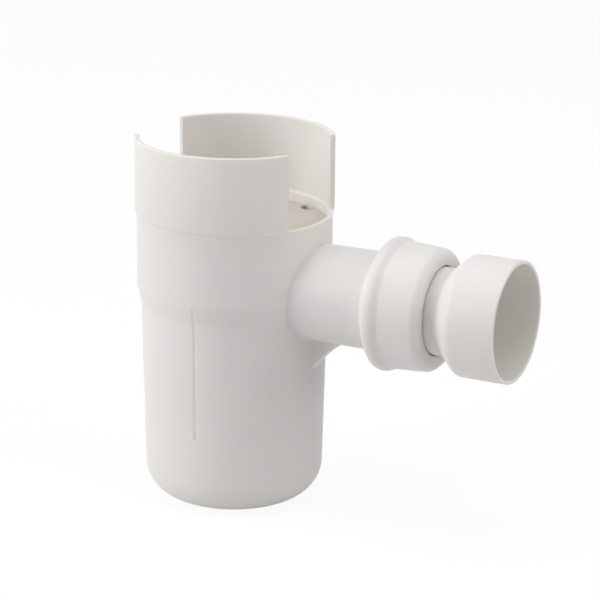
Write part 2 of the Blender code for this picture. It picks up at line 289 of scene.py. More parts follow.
def close_body(obj):
    """Turn the faces of the body being edited outwards, and leave edit mode."""
    bpy.ops.mesh.select_all(action="SELECT")
    bpy.ops.mesh.normals_make_consistent(inside=False)
    bpy.ops.object.mode_set(mode="OBJECT")
    return obj


def turn_outline(name, points, closed, centre, axis, steps):
    """Draw an outline and spin it once round an axis into a closed, outward-facing body."""
    obj = draw_outline(name, points, closed)
    bpy.ops.mesh.select_all(action="SELECT")
    bpy.ops.mesh.spin(steps=steps, angle=FULL_TURN, use_auto_merge=True, center=centre, axis=axis)
    bpy.ops.mesh.select_all(action="SELECT")
    bpy.ops.mesh.remove_doubles(threshold=TINY)
    bpy.ops.mesh.delete_loose()
    return close_body(obj)


def turn_upright(name, profile, steps, closed=False):
    """Turn (radius, height) points round the cup's axis."""
    points = [(radius, 0.0, height) for radius, height in profile]
    return turn_outline(name, points, closed, (0.0, 0.0, 0.0), (0.0, 0.0, 1.0), steps)


def turn_on_outlet(name, profile, steps, closed=False):
    """Turn (radius, distance) points round the outlet's axis."""
    height = bpy.context.scene.trap_branch.height
    points = [(distance, 0.0, height + radius) for radius, distance in profile]
    return turn_outline(name, points, closed, (0.0, 0.0, height), (1.0, 0.0, 0.0), steps)


def add_block(name, low, high):
    """A box between two corners, scaled from a cube."""
    deselect_everything()
    bpy.ops.mesh.primitive_cube_add(size=1.0, location=(0.0, 0.0, 0.0))
    obj = bpy.context.object
    obj.name = name
    bpy.ops.object.mode_set(mode="EDIT")
    bpy.ops.mesh.select_all(action="SELECT")
    size = Vector(high) - Vector(low)
    bpy.ops.transform.resize(value=size)
    bpy.ops.transform.translate(value=Vector(low) + size / 2)
    bpy.ops.object.mode_set(mode="OBJECT")
    return obj


def add_prism(name, points, along):
    """Fill an outline and extrude it into a body."""
    obj = draw_outline(name, points, True)
    bpy.ops.mesh.select_all(action="SELECT")
    bpy.ops.mesh.edge_face_add()
    bpy.ops.mesh.extrude_region_move(TRANSFORM_OT_translate={"value": along})
    return close_body(obj)


def add_cross_prism(name, outline, width):
    """Extrude an (x, z) outline across the outlet's plane."""
    return add_prism(name, [(x, -width / 2, z) for x, z in outline], (0.0, width, 0.0))


def combine(target, tool, operation):
    """Join, cut or intersect two bodies, and clear the tool away."""
    work_on(target)
    modifier = target.modifiers.new(tool.name, "BOOLEAN")
    modifier.operation = operation
    modifier.solver = "EXACT"
    modifier.object = tool
    bpy.ops.object.modifier_apply(modifier=modifier.name)
    if not target.data.polygons:
        raise RuntimeError(f"{tool.name} leaves nothing of {target.name}")
    bpy.data.objects.remove(tool, do_unlink=True)


def pick(obj, kind, wanted):
    """Open a piece for editing, and select its vertices, edges or faces that pass a test."""
    work_on(obj)
    bpy.ops.object.mode_set(mode="EDIT")
    bpy.ops.mesh.select_mode(type=kind)
    bpy.ops.mesh.select_all(action="DESELECT")
    bm = bmesh.from_edit_mesh(obj.data)
    for part in {"VERT": bm.verts, "EDGE": bm.edges, "FACE": bm.faces}[kind]:
        if wanted(part):
            part.select = True
    bmesh.update_edit_mesh(obj.data)


def round_edges(obj, wanted, radius, segments):
    """Bevel the edges that pass a test of (first end, second end, angle between faces)."""
    pick(obj, "EDGE", lambda edge: len(edge.link_faces) == 2
         and wanted(edge.verts[0].co, edge.verts[1].co, edge.calc_face_angle(0.0)))
    bpy.ops.mesh.bevel(offset=radius, segments=segments, profile=0.5, affect="EDGES", clamp_overlap=True)
    bpy.ops.object.mode_set(mode="OBJECT")


def relax_points(obj, wanted, repeat):
    """Smooth the vertices that pass a test of their place."""
    pick(obj, "VERT", lambda vert: wanted(vert.co))
    bpy.ops.mesh.vertices_smooth(factor=0.5, repeat=repeat)
    bpy.ops.object.mode_set(mode="OBJECT")


def split_faces(obj, wanted):
    """Make the faces whose corners all pass a test of their place triangles, and cut these finely."""
    pick(obj, "FACE", lambda face: all(wanted(vert.co) for vert in face.verts))
    bpy.ops.mesh.quads_convert_to_tris(quad_method="BEAUTY", ngon_method="BEAUTY")
    bpy.ops.mesh.subdivide(number_cuts=3)
    bpy.ops.object.mode_set(mode="OBJECT")


def finish_piece(obj, material, body, node):
    """Clean and shade a closed piece, give it its material and tie it to its node."""
    work_on(obj)
    bpy.ops.object.mode_set(mode="EDIT")
    bpy.ops.mesh.select_mode(type="VERT")
    bpy.ops.mesh.select_all(action="SELECT")
    bpy.ops.mesh.remove_doubles(threshold=TINY)
    bpy.ops.mesh.delete_loose()
    pick(obj, "VERT", lambda vert: len(vert.link_edges) == 2)
    bpy.ops.mesh.dissolve_verts()
    still_open = sum(len(edge.link_faces) != 2 for edge in bmesh.from_edit_mesh(obj.data).edges)
    bpy.ops.object.mode_set(mode="OBJECT")
    if still_open:
        raise RuntimeError(f"{obj.name} isn't a closed body: {still_open} of its edges are open")
    bpy.ops.object.shade_smooth_by_angle(angle=SMOOTH_ANGLE)
    obj.data.materials.clear()
    obj.data.materials.append(material)
    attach(obj, body)
    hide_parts(node)


def arc(centre, radius, start, end, steps):
    """Points along an arc, angles in degrees from the first axis towards the second."""
    points = []
    for step in range(steps + 1):
        angle = math.radians(start + (end - start) * step / steps)
        points.append((centre[0] + radius * math.cos(angle), centre[1] + radius * math.sin(angle)))
    return points


def flare(bore, end, edge, angles):
    """(radius, distance) points that round the inner edge of an opening, from its bore to its end."""
    turns = [math.radians(angle) for angle in angles]
    return [(bore + edge - edge * math.cos(turn), end - edge + edge * math.sin(turn)) for turn in turns]


def rungs(low, high, spacing):
    """Evenly spaced values between two ends, without the ends."""
    count = max(int(round((high - low) / spacing)), 1)
    return [low + (high - low) * step / count for step in range(1, count)]


def trap_settings(context):
    """The settings of the shell, of its branch and of the insert."""
    scene = context.scene
    return scene.trap_shell, scene.trap_branch, scene.trap_insert


# the shell


def cup_radius_at(shell, height):
    """Outer radius of the shell without its branch, at a height."""
    if height < shell.shoulder_bottom:
        return shell.foot_radius + (shell.cup_radius - shell.foot_radius) * height / shell.shoulder_bottom
    if height < shell.shoulder_top:
        share = (height - shell.shoulder_bottom) / (shell.shoulder_top - shell.shoulder_bottom)
        return shell.cup_radius + (shell.barrel_radius - shell.cup_radius) * share
    if height < shell.collar_height - shell.collar_slope:
        return shell.barrel_radius
    return shell.guard_radius


def shell_side(shell, branch, inset):
    """The side of the shell from its foot to the start of the guard walls, moved in by an inset."""
    def wall_at(heights):
        return [(cup_radius_at(shell, height) - inset, height) for height in heights]

    start = cup_radius_at(shell, shell.foot_rounding) - shell.foot_rounding
    side = arc((start, shell.foot_rounding), shell.foot_rounding - inset, -90.0, 0.0, 16)
    low = branch.height - branch.pipe_radius - branch.gusset_drop - MARGIN
    side += wall_at(rungs(shell.foot_rounding, low, spacing=12 * MM) + [low])
    side += wall_at(rungs(low, shell.shoulder_bottom, shell.ring_spacing))
    rise = shell.shoulder_top - shell.shoulder_bottom
    step_out = shell.barrel_radius - shell.cup_radius
    for share in BEND_STEPS:
        height = shell.shoulder_bottom + share * rise
        base = cup_radius_at(shell, min(height, shell.shoulder_bottom))
        eased = (share + BEND_SHARE) ** 2 / (4 * BEND_SHARE)
        side.append((base + step_out * eased - inset, height))
    side += wall_at(rungs(shell.shoulder_bottom + BEND_SHARE * rise, shell.shoulder_top - BEND_SHARE * rise,
                          shell.ring_spacing))
    for share in BEND_STEPS:
        eased = (BEND_SHARE - share) ** 2 / (4 * BEND_SHARE)
        side.append((shell.barrel_radius - step_out * eased - inset, shell.shoulder_top + share * rise))
    ring_end = branch.height + branch.pipe_radius + MARGIN
    side += wall_at(rungs(shell.shoulder_top + BEND_SHARE * rise, ring_end, shell.ring_spacing))
    foot = shell.collar_height - shell.collar_slope
    barrel = shell.barrel_radius - inset
    guard = shell.guard_radius - inset
    across, along = 0.05 * MM, 0.25 * MM
    return side + [(barrel, foot - along), (barrel + across, foot), (guard - across, shell.collar_height),
                   (guard, shell.collar_height + along)]


def turn_side(name, shell, branch, inset, steps):
    """A body with the shell's side moved in by an inset, up to just over the collar."""
    base = inset if inset > 0 else shell.wall
    profile = [(0.0, base)] + shell_side(shell, branch, inset)
    return turn_upright(name, profile + [(0.0, shell.collar_height + MM)], steps)


def turn_outer_form(shell, branch):
    """The outside of the cup, the barrel and the guard walls as one solid."""
    edge = shell.edge_rounding
    profile = [(0.0, 0.0)] + shell_side(shell, branch, 0.0)
    profile += arc((shell.guard_radius - edge, shell.rim_height - edge), edge, 0.0, 90.0, 4)
    return turn_upright("tundish_shell", profile + [(0.0, shell.rim_height)], shell.cup_steps)


def turn_cavity(shell, branch):
    """The space inside the shell, with a flare that rounds the rim's inner edge."""
    edge = shell.edge_rounding
    inner = shell.guard_radius - shell.wall
    profile = [(0.0, shell.wall)] + shell_side(shell, branch, shell.wall)
    profile += flare(inner, shell.rim_height, edge, (0, 22, 45, 67, 90))
    top = shell.rim_height + OVERSHOOT
    return turn_upright("cavity", profile + [(inner + edge, top), (0.0, top)], shell.cup_steps)


def branch_profile(branch, root):
    """The branch's outside from its root to its mouth, as (radius, distance)."""
    crest = branch.bulge_start + branch.bulge_rise
    fall = crest + branch.bulge_crest
    housing = fall + branch.bulge_fall + FALL_TAIL * FALL_LEAD
    rise = branch.bulge_radius - branch.pipe_radius
    drop = branch.bulge_radius - branch.housing_start
    pipe_end = branch.bulge_start - MM
    profile = [(0.0, root), (branch.pipe_radius, root)]
    profile += [(branch.pipe_radius, distance) for distance in rungs(root, pipe_end, spacing=1.4 * MM)]
    profile.append((branch.pipe_radius, pipe_end))
    for step in range(1, 13):
        share = step / 12
        distance = branch.bulge_start + branch.bulge_rise * share - FLARE_LEAD * (1 - share)
        profile.append((branch.pipe_radius + rise * math.sin(share * math.pi / 2), distance))
    edge = fall - FALL_LEAD
    profile += [(branch.bulge_radius, distance) for distance in rungs(crest, edge, spacing=0.8 * MM)]
    for step in range(13):
        share = step / 12
        profile.append((branch.bulge_radius - drop * (1 - math.cos(share * math.pi)) / 2,
                        edge + (branch.bulge_fall + (1 + FALL_TAIL) * FALL_LEAD) * share))
    bend = branch.mouth_end - branch.mouth_rounding
    for distance in rungs(housing, bend, spacing=2.5 * MM):
        share = (distance - housing) / (bend - housing)
        profile.append((branch.housing_start + (branch.housing_end - branch.housing_start) * share, distance))
    profile += arc((branch.housing_end - branch.mouth_rounding, bend), branch.mouth_rounding, 0.0, 90.0, 10)
    return profile + [(0.0, branch.mouth_end)]


def seal_seat(branch):
    """Start, end and radius of the seal's groove, which begins near the end of the flare."""
    start = branch.bulge_start + branch.bulge_rise * 0.85
    end = branch.bulge_start + branch.bulge_rise + branch.bulge_crest
    return start, end, branch.bulge_radius - branch.bulge_wall


def branch_bore_profile(shell, branch, root):
    """The bore with the spigot's stop, the seal's groove, its housing and a rounded mouth."""
    start, end, groove = seal_seat(branch)
    housing = branch.housing_end - shell.wall
    stop_end = branch.stop_start + branch.stop_length
    inner_end = branch.mouth_end - shell.wall
    edge = 0.5 * MM
    profile = [(0.0, root), (branch.pipe_bore, root)]
    profile += [(branch.pipe_bore, distance) for distance in rungs(root, branch.stop_start, spacing=1.6 * MM)]
    profile += [(branch.pipe_bore, branch.stop_start), (branch.stop_radius, branch.stop_start),
                (branch.stop_radius, stop_end), (branch.pipe_bore, stop_end),
                (branch.pipe_bore, start - branch.bulge_wall / 2), (groove, start), (groove, end),
                (housing, end + branch.bulge_fall / 2), (housing, inner_end - shell.wall / 2),
                (branch.housing_end - branch.mouth_rounding, inner_end), (branch.mouth_hole, inner_end)]
    profile += flare(branch.mouth_hole, branch.mouth_end, edge, (0, 30, 60, 90))
    outside = branch.mouth_end + OVERSHOOT
    return profile + [(branch.mouth_hole + edge, outside), (0.0, outside)]


def add_gusset(shell, branch):
    """The web under the pipe, with a slightly hollow and rounded lower edge."""
    under = branch.height - branch.pipe_radius
    wall = cup_radius_at(shell, under - branch.gusset_drop)
    span = math.hypot(branch.gusset_reach, branch.gusset_drop)
    curve = []
    for step in range(13):
        share = -0.08 + 1.16 * step / 12
        hollow = 4 * branch.gusset_hollow * share * (1 - share) / span
        curve.append((wall + branch.gusset_reach * share - branch.gusset_drop * hollow,
                      under - branch.gusset_drop * (1 - share) + branch.gusset_reach * hollow))
    top = under + branch.pipe_radius / 2
    outline = [(curve[0][0], top)] + curve + [(curve[-1][0], top)]
    web = add_cross_prism("gusset", outline, branch.gusset_width)
    round_edges(web, lambda a, b, angle: angle > SHARP_ANGLE and abs(a.y - b.y) < TINY
                and max(a.z, b.z) < top - TINY, branch.gusset_rounding, 5)
    return web


def add_window(name, shell, middle, half):
    """A wedge that opens a window down to the collar."""
    reach = shell.guard_radius + 12 * MM
    sill = shell.collar_height - shell.collar_slope / 2
    points = [(0.0, 0.0, sill)]
    for angle in (middle - half, middle + half):
        points.append((reach * math.cos(angle), reach * math.sin(angle), sill))
    return add_prism(name, points, (0.0, 0.0, shell.rim_height))


def add_guides(shell, branch, insert):
    """The ribs that hold the baffle's edges, with a stop under each pair."""
    slot = insert.thickness / 2 + insert.clearance
    across = slot + shell.rib_thickness
    reach = 2 * shell.guard_radius
    top = insert.roof_height - insert.thickness - insert.clearance
    ribs = add_block("guides", (shell.rib_offset - across, -reach, shell.rib_foot - MARGIN),
                     (shell.rib_offset + across, reach, top))
    combine(ribs, turn_side("guide_limit", shell, branch, shell.wall / 2, 64), "INTERSECT")
    combine(ribs, turn_side("guide_core", shell, branch, shell.wall + shell.rib_reach, 64), "DIFFERENCE")
    cutter = add_block("guide_slot", (shell.rib_offset - slot, -reach, shell.rib_foot - insert.clearance),
                       (shell.rib_offset + slot, reach, shell.rim_height))
    combine(ribs, cutter, "DIFFERENCE")
    return ribs


def add_marks(shell, branch):
    """Fine upright lines where the guides draw the wall in, sloping on one side and steep on the other."""
    reach = 2 * shell.guard_radius
    end = shell.mark_start + shell.mark_width
    marks = add_block("guide_marks", (shell.mark_start, -reach, shell.rib_foot),
                      (end, reach, shell.shoulder_top))
    aside = shell.cup_radius * shell.mark_depth / shell.mark_width
    outset = ((shell.mark_start + aside) ** 2 - shell.mark_start ** 2) / (2 * shell.cup_radius)
    core = turn_side("mark_core", shell, branch, -outset, 180)
    work_on(core)
    bpy.ops.transform.translate(value=(-aside, 0.0, 0.0))
    combine(marks, core, "DIFFERENCE")
    return marks


class OBJECT_OT_trap_shell(Operator):
    """Model the one-piece shell: cup, barrel, guard walls, windows and the ring-seal branch"""

    bl_idname = "object.trap_shell"
    bl_label = "Trap Shell"
    bl_options = {"REGISTER", "UNDO"}

    def execute(self, context):
        shell, branch, insert = trap_settings(context)
        depth = 14 * MM
        root = shell.barrel_radius - depth
        body = turn_outer_form(shell, branch)
        combine(body, turn_on_outlet("branch", branch_profile(branch, root), branch.pipe_steps), "UNION")
        combine(body, add_gusset(shell, branch), "UNION")
        split_faces(body, lambda place: near_gusset(shell, branch, place))
        relax_points(body, lambda place: near_root(shell, branch, place), repeat=6)
        relax_points(body, lambda place: near_gusset(shell, branch, place)
                     and off_cup(shell, place) < branch.gusset_blend, repeat=50)
        combine(body, turn_cavity(shell, branch), "DIFFERENCE")
        bore = branch_bore_profile(shell, branch, root - OVERSHOOT)
        combine(body, turn_on_outlet("bore", bore, branch.pipe_steps), "DIFFERENCE")
        combine(body, add_guides(shell, branch, insert), "UNION")
        combine(body, add_window("outlet_window", shell, 0.0, shell.outlet_window), "DIFFERENCE")
        combine(body, add_window("inlet_window", shell, math.pi, shell.inlet_window), "DIFFERENCE")
        combine(body, add_marks(shell, branch), "DIFFERENCE")
        round_edges(body, lambda a, b, angle: on_window(shell, a, b, angle), shell.edge_rounding, 3)
        finish_piece(body, pvc_material("moulded_pvc", context.scene.trap_finish.pvc), "trap",
                     "trap_body")
        return {"FINISHED"}


def off_cup(shell, place):
    """How far a place lies outside the cup's wall."""
    return math.hypot(place.x, place.y) - cup_radius_at(shell, place.z)


def near_gusset(shell, branch, place):
    """True on the gusset and on the cup close beside it."""
    if place.x < 0 or not -SKIN <= off_cup(shell, place) <= branch.gusset_reach + branch.root_blend:
        return False
    under = branch.height - branch.pipe_radius
    lap = 0.8 * MM
    beside = abs(place.y) < branch.gusset_width / 2 + branch.gusset_blend
    return beside and under - branch.gusset_drop - branch.gusset_blend < place.z < under + lap


def near_root(shell, branch, place):
    """True beside the line where the pipe or its gusset meets the cup."""
    outside = off_cup(shell, place)
    if place.x < 0 or place.x > branch.bulge_start or outside < -SKIN:
        return False
    off_pipe = math.hypot(place.y, place.z - branch.height) - branch.pipe_radius
    by_pipe = outside < branch.root_blend and abs(off_pipe) < branch.root_blend
    half = branch.gusset_width / 2 + branch.root_blend
    foot = branch.height - branch.pipe_radius - branch.gusset_drop - 2 * MM
    by_gusset = off_pipe < branch.root_blend and abs(place.y) < half and foot < place.z < branch.height
    return by_pipe or by_gusset


def on_window(shell, first, second, angle):
    """True for a sharp edge of the cuts that open the two windows."""
    sill = shell.collar_height - shell.collar_slope / 2
    top = shell.rim_height - shell.edge_rounding
    if angle < SHARP_ANGLE or min(first.z, second.z) < sill - TINY or max(first.z, second.z) > top:
        return False
    middle = (first + second) / 2
    turn = abs(math.atan2(middle.y, middle.x))
    slack = math.radians(0.4)
    return turn < shell.outlet_window + slack or turn > math.pi - shell.inlet_window - slack


class OBJECT_OT_trap_insert(Operator):
    """Model the baffle insert: an upright plate with a notched half-moon roof"""

    bl_idname = "object.trap_insert"
    bl_label = "Baffle Insert"
    bl_options = {"REGISTER", "UNDO"}

    def execute(self, context):
        shell, branch, insert = trap_settings(context)
        face = shell.rib_offset - insert.thickness / 2
        back = shell.rib_offset + insert.thickness / 2
        under = insert.roof_height - insert.thickness
        edge = shell.guard_radius + OVERSHOOT
        outline = [(face, shell.rib_foot), (back, shell.rib_foot), (back, under), (edge, under),
                   (edge, insert.roof_height), (face, insert.roof_height)]
        plate = add_cross_prism("baffle_plate", outline, 2 * edge)
        inset = shell.wall + insert.clearance
        combine(plate, turn_side("insert_limit", shell, branch, inset, shell.cup_steps), "INTERSECT")
        inward = 0.7 * MM
        reach = shell.barrel_radius - inset - inward
        for side in (-1, 1):
            place = (reach * math.cos(insert.notch_angle), side * reach * math.sin(insert.notch_angle),
                     insert.roof_height)
            combine(plate, add_notch(insert, place), "DIFFERENCE")
        round_edges(plate, lambda a, b, angle: angle > SHARP_ANGLE, insert.edge_rounding, 2)
        # the insert's material carries the painted shade of its roof in its darker, warmer colour
        finish_piece(plate, pvc_material("insert_pvc", context.scene.trap_finish.insert), "trap",
                     "baffle_insert")
        return {"FINISHED"}


def add_notch(insert, place):
    """A round cutter through the roof."""
    deselect_everything()
    depth = 5 * insert.thickness
    bpy.ops.mesh.primitive_cylinder_add(vertices=48, radius=insert.notch_radius, depth=depth, location=place)
    bpy.ops.object.transform_apply(location=True, rotation=True, scale=True)
    return bpy.context.object


class OBJECT_OT_trap_seal(Operator):
    """Model the rubber lip seal in the branch's bulge"""

    bl_idname = "object.trap_seal"
    bl_label = "Lip Seal"
    bl_options = {"REGISTER", "UNDO"}

    def execute(self, context):
        shell, branch, insert = trap_settings(context)
        start, end, groove = seal_seat(branch)
        gap = insert.clearance
        outer = groove - gap
        heel = branch.housing_end - shell.wall - gap
        lip = context.scene.trap_adaptor.spigot_radius + gap
        first = start + gap
        last = end - gap / 2
        middle = (first + last) / 2
        heel_end = last + insert.seal_heel_length
        profile = [(lip, middle - insert.seal_lip / 2), (lip, middle + insert.seal_lip / 2),
                   (heel - insert.seal_heel, last + insert.seal_lip), (heel - insert.seal_heel, heel_end),
                   (heel, heel_end), (heel, end + (branch.bulge_fall - gap) / 2), (outer, last),
                   (outer, first), (outer - insert.seal_heel, first)]
        ring = turn_on_outlet("lip_seal", profile, branch.pipe_steps, closed=True)
        round_edges(ring, lambda a, b, angle: angle > math.radians(25), radius=0.25 * MM, segments=2)
        finish_piece(ring, rubber_material(context.scene.trap_finish.rubber), "seal", "seal_ring")
        return {"FINISHED"}


class OBJECT_OT_trap_adaptor(Operator):
    """Model the push-fit adaptor: a spigot, a cone and a socket for the waste pipe"""

    bl_idname = "object.trap_adaptor"
    bl_label = "Outlet Adaptor"
    bl_options = {"REGISTER", "UNDO"}

    def execute(self, context):
        adaptor = context.scene.trap_adaptor
        branch = context.scene.trap_branch
        spigot = adaptor.spigot_radius
        bore = spigot - adaptor.spigot_wall
        cone = branch.mouth_end + adaptor.shoulder_gap
        cone_end = cone + adaptor.cone_length
        entry = cone - adaptor.spigot_length
        socket = adaptor.socket_bore + adaptor.socket_wall
        end = ADAPTOR_BOX[1][0]
        edge = adaptor.socket_edge
        depth = cone_end + edge
        bend = adaptor.bend_rounding
        profile = [(bore, entry), (spigot - edge, entry), (spigot, entry + adaptor.spigot_chamfer)]
        profile += rounded_corner((spigot, entry), (spigot, cone), (socket, cone_end), bend * 0.6)
        profile += rounded_corner((spigot, cone), (socket, cone_end), (socket, end), bend)
        profile += arc((socket - edge, end - edge), edge, 0.0, 90.0, 4)
        profile += flare(adaptor.socket_bore, end, edge, (90, 60, 30, 0))
        profile += [(adaptor.socket_bore, depth), (adaptor.socket_bore - adaptor.socket_stop, depth),
                    (bore, cone + adaptor.spigot_wall)]
        tube = turn_on_outlet("push_adaptor", profile, branch.pipe_steps, closed=True)
        finish_piece(tube, pvc_material("adaptor_pvc", context.scene.trap_finish.pvc), "adaptor",
                     "outlet_adaptor")
        return {"FINISHED"}


def rounded_corner(before, corner, after, reach):
    """Points that round a corner between two straight runs of (radius, distance)."""
    tip = Vector(corner)
    inward = tip + (Vector(before) - tip).normalized() * reach
    outward = tip + (Vector(after) - tip).normalized() * reach
    points = []
    for step in range(7):
        share = step / 6
        points.append(tuple(inward * (1 - share) ** 2 + tip * 2 * share * (1 - share) + outward * share ** 2))
    return points


# materials


def new_group(name, inputs, outputs):
    """A shader node group with named sockets, found again if it was already built."""
    if name in bpy.data.node_groups:
        return bpy.data.node_groups[name], None, None
    group = bpy.data.node_groups.new(name, "ShaderNodeTree")
    for label, value in inputs.items():
        kind = "NodeSocketFloat" if isinstance(value, float) else "NodeSocketColor"
        group.interface.new_socket(name=label, in_out="INPUT", socket_type=kind).default_value = value
    for label in outputs:
        kind = "NodeSocketColor" if label == "Colour" else "NodeSocketFloat"
        group.interface.new_socket(name=label, in_out="OUTPUT", socket_type=kind)
    return group, group.nodes.new("NodeGroupInput"), group.nodes.new("NodeGroupOutput")


def feed(tree, socket, value):
    """Set a socket to a number, or link another socket to it."""
    if isinstance(value, (int, float)):
        socket.default_value = value
    else:
        tree.links.new(value, socket)


def add_noise(tree, vector, scale, detail, roughness):
    """Cloudy noise over the piece."""
    noise = tree.nodes.new("ShaderNodeTexNoise")
    noise.noise_dimensions = "3D"
    noise.inputs["Detail"].default_value = detail
    noise.inputs["Roughness"].default_value = roughness
    feed(tree, noise.inputs["Scale"], scale)
    tree.links.new(vector, noise.inputs["Vector"])
    return noise.outputs["Fac"]


def add_range(tree, value, low, high, to_low, to_high):
    """Map a value from one range to another."""
    node = tree.nodes.new("ShaderNodeMapRange")
    tree.links.new(value, node.inputs["Value"])
    for label, end in (("From Min", low), ("From Max", high), ("To Min", to_low), ("To Max", to_high)):
        feed(tree, node.inputs[label], end)
    return node.outputs["Result"]


def add_math(tree, operation, first, second):
    """Combine two values."""
    node = tree.nodes.new("ShaderNodeMath")
    node.operation = operation
    for socket, value in zip(node.inputs, (first, second)):
        feed(tree, socket, value)
    return node.outputs["Value"]


def add_mix(tree, blend_type, factor, first, second):
    """Mix two colours."""
    node = tree.nodes.new("ShaderNodeMix")
    node.data_type = "RGBA"
    node.blend_type = blend_type
    for label, value in (("Factor", factor), ("A", first), ("B", second)):
        feed(tree, node.inputs[label], value)
    return node.outputs["Result"]


def moulded_skin_group():
    """Surface of a moulding: slow patches of tone, draw marks along the mould, and a fine peel."""
    inputs = {"Colour": (0.8, 0.8, 0.8, 1.0), "Patch Scale": 22.0, "Patch Amount": 0.04,
              "Peel Scale": 900.0, "Roughness Low": 0.34, "Roughness High": 0.42}
    group, entry, result = new_group("Moulded Skin", inputs, ("Colour", "Roughness", "Height"))
    if entry is None:
        return group
    coords = group.nodes.new("ShaderNodeTexCoord").outputs["Object"]
    drawn = group.nodes.new("ShaderNodeMapping")
    drawn.inputs["Scale"].default_value = (1.0, 1.0, 0.06)
    group.links.new(coords, drawn.inputs["Vector"])
    patches = add_noise(group, coords, entry.outputs["Patch Scale"], 3.0, 0.5)
    marks = add_noise(group, drawn.outputs["Vector"], 240.0, 2.0, 0.5)
    peel = add_noise(group, coords, entry.outputs["Peel Scale"], 2.0, 0.55)
    low = add_math(group, "SUBTRACT", 1.0, entry.outputs["Patch Amount"])
    tone = add_range(group, patches, 0.3, 0.7, low, 1.0)
    tone = add_math(group, "MULTIPLY", tone, add_range(group, marks, 0.3, 0.7, 0.992, 1.0))
    colour = add_mix(group, "MULTIPLY", 1.0, entry.outputs["Colour"], tone)
    rough = add_math(group, "MULTIPLY", add_math(group, "ADD", patches, marks), 0.5)
    rough = add_range(group, rough, 0.35, 0.65, entry.outputs["Roughness Low"],
                      entry.outputs["Roughness High"])
    fine = add_math(group, "MULTIPLY", peel, 0.5)
    height = add_math(group, "ADD", fine, add_math(group, "MULTIPLY", marks, 0.5))
    for label, value in (("Colour", colour), ("Roughness", rough), ("Height", height)):
        group.links.new(value, result.inputs[label])
    return group


def settled_film_group():
    """Handling marks: a warm film that gathers in patches, a little more on what faces up."""
    inputs = {"Colour": (0.8, 0.8, 0.8, 1.0), "Film": (0.62, 0.57, 0.50, 1.0), "Amount": 0.05,
              "Scale": 38.0}
    group, entry, result = new_group("Settled Film", inputs, ("Colour",))
    if entry is None:
        return group
    coords = group.nodes.new("ShaderNodeTexCoord")
    split = group.nodes.new("ShaderNodeSeparateXYZ")
    group.links.new(coords.outputs["Normal"], split.inputs["Vector"])
    facing = add_range(group, split.outputs["Z"], -0.2, 1.0, 0.35, 1.0)
    cloud = add_noise(group, coords.outputs["Object"], entry.outputs["Scale"], 5.0, 0.6)
    cloud = add_range(group, cloud, 0.45, 0.75, 0.0, 1.0)
    mask = add_math(group, "MULTIPLY", add_math(group, "MULTIPLY", cloud, facing), entry.outputs["Amount"])
    colour = add_mix(group, "MIX", mask, entry.outputs["Colour"], entry.outputs["Film"])
    group.links.new(colour, result.inputs["Colour"])
    return group


def new_material(name):
    """A material with its node tree and its shader."""
    material = bpy.data.materials.new(name)
    material.use_nodes = True
    return material, material.node_tree, material.node_tree.nodes["Principled BSDF"]


def place_group(tree, group, values):
    """Place a node group in a material, with its own values."""
    node = tree.nodes.new("ShaderNodeGroup")
    node.node_tree = group
    for label, value in values.items():
        node.inputs[label].default_value = value
    return node


def filmed_material(name, skin_values, film_values, strength, distance):
    """A moulded skin under a settled film, with a bump of the skin's height."""
    material, tree, shader = new_material(name)
    skin = place_group(tree, moulded_skin_group(), skin_values)
    film = place_group(tree, settled_film_group(), film_values)
    tree.links.new(skin.outputs["Colour"], film.inputs["Colour"])
    tree.links.new(film.outputs["Colour"], shader.inputs["Base Color"])
    tree.links.new(skin.outputs["Roughness"], shader.inputs["Roughness"])
    bump = tree.nodes.new("ShaderNodeBump")
    bump.inputs["Strength"].default_value = strength
    bump.inputs["Distance"].default_value = distance
    tree.links.new(skin.outputs["Height"], bump.inputs["Height"])
    tree.links.new(bump.outputs["Normal"], shader.inputs["Normal"])
    return material, shader


def pvc_material(name, colour):
    """White moulded PVC, satin, with a faint film."""
    base = bpy.context.scene.trap_finish.pvc_roughness
    skin = {"Colour": (*colour, 1.0), "Patch Scale": 20.0, "Patch Amount": 0.03, "Peel Scale": 800.0,
            "Roughness Low": base - 0.05, "Roughness High": base + 0.06}
    material, shader = filmed_material(name, skin, {"Amount": 0.06, "Scale": 30.0}, 0.10, 0.0001)
    shader.inputs["IOR"].default_value = 1.53
    shader.inputs["Specular IOR Level"].default_value = 0.25
    shader.inputs["Subsurface Weight"].default_value = 0.4
    shader.inputs["Subsurface Radius"].default_value = (1.0, 0.85, 0.6)
    shader.inputs["Subsurface Scale"].default_value = 0.004
    return material


def rubber_material(colour):
    """Black seal rubber with bloom."""
    skin = {"Colour": (*colour, 1.0), "Patch Scale": 60.0, "Patch Amount": 0.25, "Peel Scale": 1600.0,
            "Roughness Low": 0.55, "Roughness High": 0.75}
    bloom = {"Film": (0.16, 0.155, 0.15, 1.0), "Amount": 0.25, "Scale": 90.0}
    material, _ = filmed_material("seal_rubber", skin, bloom, 0.35, 0.0002)
    return material


# the stage


def seen_directly(tree):
    """A mask that is 1 for camera, glossy and transmission rays."""
    path = tree.nodes.new("ShaderNodeLightPath")
    seen = add_math(tree, "MAXIMUM", path.outputs["Is Camera Ray"], path.outputs["Is Glossy Ray"])
    return add_math(tree, "MAXIMUM", seen, path.outputs["Is Transmission Ray"])


